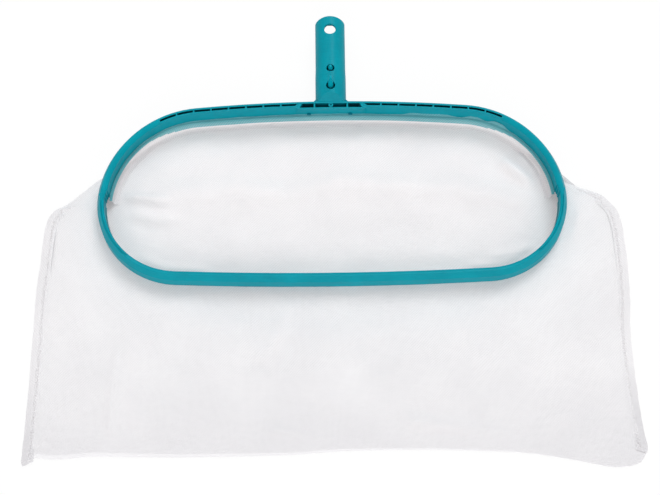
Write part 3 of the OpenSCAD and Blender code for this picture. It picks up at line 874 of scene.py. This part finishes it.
@dataclass(frozen=True)
class BagOutline:
    """The outline of the bag as it lies, and the headings of the mouth that its mesh runs to."""

    left: Sequence[Row] = (
        (-217, 67, -68), (-224, 63.5, -71), (-238, 51.5, -75), (-251, 40.3, -79), (-259, 35.2, -82),
        (-265.5, 31, -85), (-270.3, 23.5, -88.5), (-272.6, 14, -94), (-274, 2, -100), (-275.6, -25, -110),
        (-277.6, -48, -118), (-278.6, -96, -128), (-280, -152, -137), (-282, -200, -144),
        (-282.6, -210, -146),
    )
    tip: Sequence[Row] = ((-281, -214.3, -147), (-277.5, -212.5, -148.5), (-271, -206.5, -150))
    bottom: Sequence[Row] = (
        (-271, -206.5, -150), (-254, -208.3, -155), (-237, -207.4, -160), (-217, -206, -165),
        (-194, -206.6, -171), (-139, -207.8, -177.6), (-46, -206.8, -179.1), (14, -203.6, -180.3),
        (89, -203.6, -181.5), (150, -206, -183), (179, -208.4, -184), (215, -214.5, -196),
        (246, -220.8, -206), (264, -220.6, -210), (275, -217, -213.5),
    )
    right: Sequence[Row] = (
        (275, -217, -213.5), (280, -209, -216), (281.5, -203, -217.5), (278.6, -184, -219.5),
        (275.8, -144, -224),
        (274.4, -96, -232), (276.6, -64, -239), (277, -30, -246), (275.6, 0, -257), (273.8, 17, -263),
        (268.5, 29.5, -270), (257.5, 41.8, -276), (240, 49, -282), (225.6, 54.5, -286), (217, 58.5, -288),
    )

    def around(self, count: int) -> np.ndarray:
        """The whole outline from the left of the mouth round the bottom to the right of it.

        Args:
            count: number of points.

        Returns:
            An array of x, y and heading.
        """
        counts = ((self.left, 300), (self.tip, 30), (self.bottom, 500), (self.right, 300))
        parts = [curve_through(points, steps) for points, steps in counts]
        line = np.vstack([parts[0], parts[1][1:], parts[2][1:], parts[3][1:]])
        run = run_along(line[:, :2])
        return read_at(line, np.linspace(0.0, run[-1], count), run)


OUTLINE = BagOutline()


@dataclass
class BackMesh:
    """The back of the bag, which lies on the ground and shows through the mouth."""

    columns: int = 250
    rows: int = 150
    rest_z: float = 0.55
    tuck: float = -9.4
    lift: float = 1.2
    heel_lift: float = 2.2
    waves: Sequence[Wave] = (Wave(46.0, 2.2, 3.1), Wave(17.0, 0.8, 7.7))
    flat_wave: Wave = Wave(12.0, 0.12, 1.3)
    folds: Sequence[Fold] = (
        Fold([(-176, 43), (-94, 50), (-42, 45), (2, 57), (60, 53), (114, 49), (178, 36), (205, 37)],
             4.6, 13.0, 30.0),
        Fold([(160, 84), (178, 66), (197, 48)], 6.0, 6.5),
        Fold([(176, 92), (192, 74), (204, 56)], 2.4, 5.0),
        Fold([(-204, 47), (-176, 42), (-149, 37)], 5.0, 5.0),
        Fold([(-198, 30), (-170, 22), (-140, 20)], 3.4, 6.0),
        Fold([(140, -22), (170, -17), (197, -8)], 3.0, 5.5),
        Fold([(120, -30), (160, -28), (186, -18)], 2.2, 4.5),
        Fold([(-190, -14), (-160, -28), (-110, -33)], 2.6, 6.0),
        Fold([(-110, 20), (-40, 8), (40, 14), (120, 2)], -0.8, 14.0, 30.0),
    )

    def build(self) -> Piece:
        """Lays the back mesh.

        Returns:
            The piece.
        """
        piece = laid_sheet("bag_back_mesh", self.columns, self.rows, self.place, SHADED_BACK_NET.material())
        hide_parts("net_back_panel")
        round(cut_area(piece), 4)
        return piece

    def place(self, s: np.ndarray, t: np.ndarray) -> tuple[np.ndarray, np.ndarray]:
        """Where the cloth's points lie: a patch between four curves, with its folds.

        Args:
            s: shares from left to right.
            t: shares from the bottom up.

        Returns:
            Points and cloth coordinates.
        """
        left = curve_through(OUTLINE.left, 400)[::-1, :2]
        right = curve_through(OUTLINE.right, 400)[:, :2]
        low = np.vstack([curve_through(OUTLINE.tip, 30)[:, :2], curve_through(OUTLINE.bottom, 500)[1:, :2]])
        mouth = HOOP.points(np.linspace(-68, 72, 300), self.tuck)
        high = np.vstack([left[-1], mouth, right[-1]])

        def on(line: np.ndarray, share: np.ndarray) -> np.ndarray:
            """Points at shares of a line's length."""
            run = run_along(line)
            return read_at(line, share * run[-1], run)

        across, up = s[:, None], t[:, None]
        xy = (1 - up) * on(low, s) + up * on(high, s) + (1 - across) * on(left, t) + across * on(right, t)
        corners = (1 - across) * ((1 - up) * low[0] + up * high[0])
        xy -= corners + across * ((1 - up) * low[-1] + up * high[-1])
        return np.column_stack([xy, self.height(xy)]), xy

    def height(self, xy: np.ndarray) -> np.ndarray:
        """Heights of the cloth: the folds inside the mouth, and nearly flat elsewhere."""
        inside = -HOOP.offset_of(xy)
        free = smooth(inside, 10.0, 34.0)
        z = np.full(len(xy), self.rest_z)
        for fold in self.folds:
            z += fold.height(xy) * smooth(inside, 6.0, 16.0)
        heel = smooth(-xy[:, 1], -14.0, 34.0) * smooth(inside, -2.0, 8.0)
        z += free * sum((wave.height(xy) for wave in self.waves), self.lift) + self.heel_lift * heel
        z += self.flat_wave.height(xy) * (1 - free)
        return np.clip(z, 0.35, 8.0)


@dataclass
class FrontMesh:
    """The front of the bag, lofted from the rear edge of the hoop down to its edges."""

    columns: int = 430
    rows: int = 84
    mouth_offset: float = -4.7
    mouth_z: float = 6.85
    edge_z: float = 1.25
    power: float = 2.5
    waves: Sequence[Wave] = (Wave(60.0, 0.9, 9.4), Wave(24.0, 0.45, 2.2), Wave(9.0, 0.2, 5.8))
    folds: Sequence[Fold] = (
        Fold([(-199, -100), (-203, -150), (-205, -198)], 1.3, 4.5),
        Fold([(-188, -112), (-190, -160), (-188, -196)], -0.7, 6.0),
        Fold([(-37, -58), (-50, -92), (-70, -125)], 1.2, 7.0),
        Fold([(-66, -182), (-36, -190), (-4, -199)], 1.5, 6.0),
        Fold([(60, -176), (110, -186), (170, -199)], 1.7, 7.0),
        Fold([(-225, -204), (-236, -199), (-244, -203)], 0.9, 3.0, 4.0),
        Fold([(236, -60), (246, -120), (262, -178)], 1.6, 14.0),
        Fold([(-120, -66), (-20, -80), (90, -72), (160, -62)], -1.2, 15.0, 40.0),
        Fold([(-232, 37), (-226, 20), (-222, -6)], 1.2, 6.0),
        Fold([(238, 40), (232, 14), (226, -14)], 1.2, 6.0),
        Fold([(-261, 17), (-265, -4), (-268, -40)], -0.9, 3.2),
    )

    def build(self) -> Piece:
        """Lays the front mesh.

        Returns:
            The piece.
        """
        piece = laid_sheet("bag_front_mesh", self.columns, self.rows, self.place, NET.material())
        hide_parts("net_front_panel")
        round(cut_area(piece), 4)
        return piece

    def place(self, s: np.ndarray, t: np.ndarray) -> tuple[np.ndarray, np.ndarray]:
        """Where the cloth's points lie.

        Args:
            s: shares round the outline, from the left of the mouth.
            t: shares from the mouth to the outline.

        Returns:
            Points and cloth coordinates.
        """
        rows = read_at(OUTLINE.around(1600), s)
        mouth = HOOP.points(rows[:, 2], self.mouth_offset)
        xy = mouth + (rows[:, :2] - mouth) * t[:, None]
        outside = HOOP.offset_of(xy)
        z = self.mouth_z - (self.mouth_z - self.edge_z) * t**self.power
        free = smooth(outside, 5.0, 22.0) * smooth(1.0 - t, 0.07, 0.2)
        for fold in self.folds:
            z += fold.height(xy) * smooth(outside, 4.5, 14.0) * smooth(1.0 - t, 0.06, 0.16)
        z += free * sum(wave.height(xy) for wave in self.waves)
        z = np.where(outside < 4.5, np.minimum(z, self.mouth_z), z)
        return np.column_stack([xy, np.maximum(z, self.edge_z - 0.05)]), xy


@dataclass
class UpperWrap:
    """The mesh that rises from the bag over the upper strip, its raw edge on the inner wall of the hoop.

    A row of its profile is a share of the cloth, a share of the way from the foot to the strip, and a height.
    """

    columns: int = 640
    rows: int = 28
    first_heading: float = -85.0
    last_heading: float = 84.0
    plain_share: float = 0.26
    plain_more: float = 0.15
    cloth_height: float = 20.0
    foot: float = -14.5
    foot_waves: Sequence[Wave] = (Wave(26.0, -1.2, 6.6), Wave(9.0, -0.5, 1.9))
    strip_inner: float = -8.45
    strip_width: float = 1.95
    profile: Sequence[Row] = (
        (0.0, 0.0, 0.9), (0.10, 0.42, 1.3), (0.20, 0.72, 2.4), (0.30, 0.86, 5.8), (0.42, 0.90, 10.5),
        (0.50, 1.0, 11.42), (0.75, 1.0, 11.44),
    )
    edge_reach: float = 0.9
    edge_waves: Sequence[Wave] = (Wave(16.0, 0.7, 4.4), Wave(1.3, 0.25, 8.1))
    flaps: Sequence[Fold] = (
        Fold([(67, 0), (124, 0)], 7.6, 14.0, 26.0),
        Fold([(126, 0), (152, 0)], 3.0, 14.0, 12.0),
        Fold([(152, 0), (176, 0)], 5.6, 10.0, 9.0),
    )

    def build(self) -> Piece:
        """Lays the wrapped edge.

        Returns:
            The piece.
        """
        # the lower faces of the rise take the darker rear mesh, painted shade under the top bar; the faces
        # above take wrapped_mesh
        piece = laid_sheet("mouth_mesh_wrap", self.columns, self.rows, self.place, SHADED_BACK_NET.material())
        piece.data.materials.append(WRAP.material())
        laid = piece.data.uv_layers.active.data
        for face in piece.data.polygons:
            middle = sum(laid[k].uv.y for k in face.loop_indices) / face.loop_total
            turned = min(1.0, max(0.0, (abs(face.center.x) / MM - 150.0) / 30.0))
            share = self.plain_share + self.plain_more * turned
            face.material_index = int(middle > share * self.cloth_height * 0.1)
        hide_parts("upper_mouth_hem")
        round(cut_area(piece), 5)
        return piece

    def raw_edge(self, xy: np.ndarray, along: np.ndarray) -> np.ndarray:
        """How far the raw edge reaches past the strip, for points of the rim."""
        flat = np.column_stack([xy[:, 0], np.zeros(len(xy))])
        wavy = sum((wave.along(along) for wave in self.edge_waves), self.edge_reach)
        return wavy + sum(flap.height(flat) for flap in self.flaps)

    def place(self, s: np.ndarray, t: np.ndarray) -> tuple[np.ndarray, np.ndarray]:
        """Where the cloth's points lie: up from the bag, over the strip and onto the wall.

        Args:
            s: shares from the left joint over the crown to the right one.
            t: shares from the bag to the raw edge.

        Returns:
            Points and cloth coordinates.
        """
        heading, along = HOOP.walk(self.first_heading, self.last_heading, s)
        at = HOOP.points(heading, 0.0)
        past = np.maximum(smooth(-heading, 81.8, 83.2), smooth(heading, 81.8, 83.2))
        foot = sum((wave.along(along) for wave in self.foot_waves), self.foot)
        rows, shares, heights = zip(*self.profile)
        offset = foot + (self.strip_inner - foot) * np.interp(t, rows, shares)
        over = self.strip_inner + self.strip_width * np.clip((t - 0.5) / 0.25, 0, 1)
        offset = np.where(t > 0.5, over, offset)
        z = np.interp(t, rows, heights) + 0.04 * np.sin(along * 1.7) * (t > 0.5)
        climb = np.clip((t - 0.75) / 0.25, 0, 1) * np.maximum(self.raw_edge(at, along), 0.25)
        slant = 0.13 * smooth(150.0 - np.abs(at[:, 0]), -14.0, 10.0)
        offset += climb * slant
        z += climb * (1 - past)
        z = np.where(t > 0.42, z - past * 0.9, z)
        xy = HOOP.points(heading, offset)
        return np.column_stack([xy, z]), np.column_stack([along, t * self.cloth_height])


@dataclass
class LowerWrap:
    """The mesh wrapped round the lower strip, inside the sides and the lip."""

    columns: int = 560
    rows: int = 8
    first_heading: float = 91.0
    low_z: float = 6.85
    high_z: float = 11.9
    strip_inner: float = -4.45
    edge_waves: Sequence[Wave] = (Wave(14.0, 0.5, 2.9), Wave(1.5, 0.2, 5.5))
    face_wave: Wave = Wave(8.0, -0.1, 4.1)

    def build(self) -> Piece:
        """Lays the wrapped edge.

        Returns:
            The piece.
        """
        piece = laid_sheet("lip_mesh_wrap", self.columns, self.rows, self.place, WRAP.material())
        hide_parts("lower_mouth_hem")
        round(cut_area(piece), 5)
        return piece

    def place(self, s: np.ndarray, t: np.ndarray) -> tuple[np.ndarray, np.ndarray]:
        """Where the cloth's points lie.

        Args:
            s: shares from the right joint along the lip to the left one.
            t: shares from the bag to the raw edge.

        Returns:
            Points and cloth coordinates.
        """
        heading, along = HOOP.walk(self.first_heading, 360.0 - self.first_heading, s)
        reach = sum((wave.along(along) for wave in self.edge_waves), self.high_z)
        z = self.low_z + (reach - self.low_z) * t
        offset = self.strip_inner - 0.25 * np.sin(t * math.pi) + self.face_wave.along(along)
        return np.column_stack([HOOP.points(heading, offset), z]), np.column_stack([along, t * 6.0])


@dataclass
class SideSeam:
    """A sewn side of the bag: the doubled edge with its overlock stitches and its line of straight ones."""

    side: Side
    edge: Sequence[Sequence[float]]
    nodes: Sequence[str]
    width: float = 10.5
    loop_pitch: float = 2.3
    stitch: float = 2.4
    seed: float = 1.0

    def lines(self, count: int, by: np.ndarray | float) -> np.ndarray:
        """The edge moved into the bag."""
        line = curve_through(self.edge, count)[:, :2]
        return inward(line, by, (0.0, -60.0))

    def inside(self, shares: np.ndarray, by: np.ndarray, count: int) -> tuple[np.ndarray, np.ndarray]:
        """Points inside the edge.

        Args:
            shares: how far along the edge, from 0 to 1.
            by: how far inside it.
            count: how finely the edge is read.

        Returns:
            The points, and the edge's own points beside them.
        """
        near = read_at(self.lines(count, 0.0), shares)
        far = read_at(self.lines(count, 1.0), shares)
        return near + (far - near) * by[:, None], near

    def build(self) -> list[Piece]:
        """Makes the doubled edge and its stitches.

        Returns:
            The pieces.
        """
        name = self.side.name.lower()
        line = self.lines(400, 0.0)
        run = length_of(line)
        edge = laid_sheet(f"{name}_sewn_edge", int(run / 1.4), 8, self.place, SHADED_SEAM_MESH.material())
        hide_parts(*self.nodes)
        loops = self.overlock(f"{name}_overlock_stitches", run)
        stitches = self.straight(f"{name}_seam_stitches", run)
        round(cut_area(edge), 5)
        return [edge, loops, stitches]

    def place(self, s: np.ndarray, t: np.ndarray) -> tuple[np.ndarray, np.ndarray]:
        """Where the doubled edge lies.

        Args:
            s: shares along the edge.
            t: shares from the outline inwards.

        Returns:
            Points and cloth coordinates.
        """
        along = s * length_of(self.lines(400, 0.0))
        raw = -0.35 + Wave(11.0, 0.35, self.seed).along(along)
        width = self.width + Wave(18.0, 0.5, self.seed + 3).along(along)
        xy, near = self.inside(s, raw + (width - raw) * t, 400)
        z = self.mesh_height(near, self.width * t) + 0.3 + 0.3 * np.sin(t * math.pi) ** 0.7
        z += Wave(7.0, 0.08, self.seed).height(xy)
        return np.column_stack([xy, z]), np.column_stack([along, t * self.width])

    def mesh_height(self, edge: np.ndarray, by: np.ndarray | float) -> np.ndarray:
        """How high the front mesh lies.

        Args:
            edge: points of the outline.
            by: how far inside the outline it is read.

        Returns:
            One height for each point.
        """
        front = FrontMesh()
        reach = HOOP.offset_of(edge) - front.mouth_offset
        share = 1.0 - np.clip(np.broadcast_to(by, len(edge)) / reach, 0.0, 1.0)
        return front.mouth_z - (front.mouth_z - front.edge_z) * share**front.power

    def overlock(self, name: str, run: float) -> Piece:
        """The overlock stitches, a thread that loops across the inner half of the edge."""
        loops = int(run / self.loop_pitch)
        per = 8
        s = np.linspace(0.004, 0.996, loops * per)
        phase = np.arange(len(s)) % per / per
        swing = 0.5 - 0.5 * np.cos(phase * TURN)
        reach = 0.8 + Wave(3.1, 0.3, self.seed + 9).along(s * run)
        by = 5.6 + 3.4 * swing * reach + Wave(5.0, 0.6, self.seed + 6).along(s * run)
        sway = s + np.sin(phase * TURN) * 0.42 * self.loop_pitch / run
        xy, near = self.inside(sway, by, 800)
        z = self.mesh_height(near, by) + 0.75 + 0.2 * np.sin(phase * TURN * 2)
        return sewn_thread(name, [np.column_stack([xy, z])], 0.19, THREAD.material())

    def straight(self, name: str, run: float) -> Piece:
        """The line of straight stitches along the inner border of the edge."""
        count = int(run / (self.stitch + 0.7))
        row = self.width - 0.8
        sewn, edge = self.lines(800, row), self.lines(800, 0.0)
        runs = []
        for k in range(count):
            s = (k + np.array([0.12, 0.3, 0.7, 0.88])) / count
            z = self.mesh_height(read_at(edge, s), row) + 0.55 + np.array([-0.2, 0.1, 0.1, -0.2])
            runs.append(np.column_stack([read_at(sewn, s), z]))
        return sewn_thread(name, runs, 0.17, THREAD.material())


@dataclass
class ShoulderHem:
    """The short stitched hem where a side of the bag meets the hoop."""

    side: Side
    line: Sequence[Point]
    node: str
    width: float = 5.0
    seed: float = 2.0

    def build(self) -> list[Piece]:
        """Makes the hem and its stitches.

        Returns:
            The pieces.
        """
        name = self.side.name.lower()
        run = length_of(curve_through(self.line, 200))
        hem = laid_sheet(f"{name}_shoulder_hem", int(run / 1.2), 6, self.place, SHADED_SEAM_MESH.material())
        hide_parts(self.node)
        stitches = []
        base = curve_through(self.line, 300)
        count = int(run / 3.2)
        for k in range(count):
            s = (k + np.array([0.15, 0.35, 0.65, 0.85])) / count
            stitches.append(np.column_stack([read_at(base, s), 5.15 + np.array([-0.3, 0.1, 0.1, -0.3])]))
        sewn = sewn_thread(f"{name}_shoulder_stitches", stitches, 0.22, THREAD.material())
        round(cut_area(hem), 6)
        return [hem, sewn]

    def place(self, s: np.ndarray, t: np.ndarray) -> tuple[np.ndarray, np.ndarray]:
        """Where the hem lies: a flattened roll over the mesh."""
        base = curve_through(self.line, 300)
        mid = read_at(base, s)
        side = read_at(inward(base, 1.0, (0.0, -60.0)), s) - mid
        wide = self.width + Wave(6.0, 0.5, self.seed).along(s * 40)
        xy = mid + side * ((t - 0.5) * wide)[:, None]
        z = 3.4 + 1.5 * np.sin(t * math.pi) ** 0.6
        return np.column_stack([xy, z]), np.column_stack([s * 27.0, t * self.width])


# ---------------------------------------------------------------------------------------------- assemblies


@dataclass
class MouldedParts:
    """The hoop, its joint pins, the strips, the pegs and the lock clip, dressed where they are."""

    finishes: dict[str, PlasticFinish] = field(default_factory=lambda: {
        "frame": TEAL, "lip": TEAL, "joint_pins": TEAL, "upper_retainer_strip": STRIP,
        "lower_retainer_strip": STRIP, "strip_pegs": PEG, "lock_clip_base": CLIP, "lock_clip_arm": CLIP,
    })

    def dress(self) -> list[str]:
        """Gives each moulding its finish.

        Returns:
            The names of the dressed nodes.
        """
        made: dict[str, Material] = {}
        for node, finish in self.finishes.items():
            if finish.name not in made:
                made[finish.name] = finish.material()
            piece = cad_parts[node]
            if not piece.material_slots:
                piece.data.materials.append(None)
            for slot in piece.material_slots:
                slot.material = made[finish.name]
        return list(self.finishes)


@dataclass
class Bag:
    """The whole mesh bag with its seams."""

    def build(self) -> list[Piece]:
        """Builds every cloth piece and lets it ride on the net.

        Returns:
            The pieces.
        """
        front, back = FrontMesh(), BackMesh()
        pieces = [front.build(), back.build(), UpperWrap().build(), LowerWrap().build()]
        left = [r[:2] for r in OUTLINE.left[4:]] + [r[:2] for r in OUTLINE.tip[:1]]
        right = [r[:2] for r in OUTLINE.right[1:12]]
        pieces += SideSeam(Side.LEFT, left, ["left_side_seam", "left_stitching"], seed=1.0).build()
        pieces += SideSeam(Side.RIGHT, right, ["right_side_seam", "right_stitching"], seed=5.0).build()
        left_hem, right_hem = [(-258, 31.5), (-246, 34), (-231.5, 36.5)], [(256, 38), (244, 43), (231, 47)]
        pieces += ShoulderHem(Side.LEFT, left_hem, "left_shoulder_seam").build()
        pieces += ShoulderHem(Side.RIGHT, right_hem, "right_shoulder_seam", seed=6.0).build()
        for piece in pieces:
            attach(piece, BODY)
        return pieces


@dataclass
class Studio:
    """The camera, the lamps, the floor and the room's light."""

    aim: tuple[float, float, float] = (-2.5, -17.9, 27.5)
    distance: float = 1400.0
    tilt: float = 20.0
    roll: float = 0.70
    lens: float = 82.36
    key: float = 1.2
    side: float = 0.35
    fill: float = 1.4
    room: float = 0.515
    sky_colour: Colour = (0.94, 1.02, 1.04)
    fill_colour: Colour = (1.02, 0.994, 0.988)
    room_colour: Colour = (1.04, 0.985, 0.968)

    def build(self) -> None:
        """Makes the camera, the lamps, the floor and the world."""
        self.camera()
        self.lamp("key_light", (0.24, 0.61, 0.75), self.key, 26.0, self.sky_colour)
        self.lamp("side_light", (-0.3, 0.6, 0.75), self.side, 40.0, self.sky_colour)
        self.lamp("fill_light", (0.0, -0.88, 0.47), self.fill, 60.0, self.fill_colour)
        self.floor()
        self.world()

    def camera(self) -> None:
        """Makes the camera and sets it as the scene's."""
        tilt, roll = math.radians(self.tilt), math.radians(self.roll)
        forward = Vector((0.0, math.sin(tilt), -math.cos(tilt)))
        up = Vector((0.0, math.cos(tilt), math.sin(tilt)))
        right = Vector((1.0, 0.0, 0.0))
        turned_up = up * math.cos(roll) + right * math.sin(roll)
        turned_right = right * math.cos(roll) - up * math.sin(roll)
        data = bpy.data.cameras.new("view")
        data.sensor_width, data.lens = 36.0, self.lens
        data.clip_start, data.clip_end = 0.05, 50.0
        camera = bpy.data.objects.new("view", data)
        bpy.context.scene.collection.objects.link(camera)
        at = (Vector(self.aim) - forward * self.distance) * MM
        axes = Matrix((turned_right, turned_up, -forward)).transposed()
        camera.matrix_world = Matrix.Translation(at) @ axes.to_4x4()
        bpy.context.scene.camera = camera

    def lamp(self, name: str, towards: tuple[float, float, float], strength: float, softness: float,
             colour: Colour) -> None:
        """Makes a soft lamp far away.

        Args:
            name: its name.
            towards: the way to the lamp.
            strength: its light.
            softness: how wide it looks, in degrees.
            colour: the tint of its light.
        """
        data = bpy.data.lights.new(name, "SUN")
        data.energy, data.angle = strength, math.radians(softness)
        data.color = colour
        lamp = bpy.data.objects.new(name, data)
        bpy.context.scene.collection.objects.link(lamp)
        lamp.rotation_euler = Vector(towards).to_track_quat("Z", "Y").to_euler()

    def floor(self) -> None:
        """Makes the floor, a wide sheet whose far rim curves up."""
        deselect_all()
        bpy.ops.mesh.primitive_grid_add(x_subdivisions=24, y_subdivisions=24, size=12.0)
        floor = bpy.context.active_object
        floor.name = floor.data.name = "floor"
        for corner in floor.data.vertices:
            out = max(0.0, corner.co.length - 4.0)
            corner.co.z = 0.04 * out * out
        floor.data.materials.append(FloorFinish().material())
        smooth_shaded(floor)

    def world(self) -> None:
        """Makes the room: plain soft light, and white where it is looked at."""
        world = bpy.data.worlds.new("room")
        world.use_nodes = True
        bpy.context.scene.world = world
        g = Graph(world.node_tree)
        lit = world.node_tree.nodes["Background"]
        lit.inputs["Color"].default_value = (*self.room_colour, 1.0)
        lit.inputs["Strength"].default_value = self.room
        shown = g.add("ShaderNodeBackground")
        shown.inputs["Color"].default_value = (1.0, 1.0, 1.0, 1.0)
        shown.inputs["Strength"].default_value = 1.0
        mix = g.add("ShaderNodeMixShader")
        g.feed(g.looked_at(), mix.inputs[0])
        g.feed(lit.outputs[0], mix.inputs[1])
        g.feed(shown.outputs[0], mix.inputs[2])
        g.feed(mix.outputs[0], world.node_tree.nodes["World Output"].inputs["Surface"])


def main() -> None:
    """Builds the scene in order and reports each piece."""
    logging.basicConfig(level=logging.INFO, format="%(message)s")
    bpy.context.scene.view_settings.view_transform = "Standard"
    Studio().build()
    LOG.info("dressed: %s", ", ".join(MouldedParts().dress()))
    for piece in Bag().build():
        LOG.info("%s: %d faces", piece.name, len(piece.data.polygons))


if __name__ == "__main__":
    main()
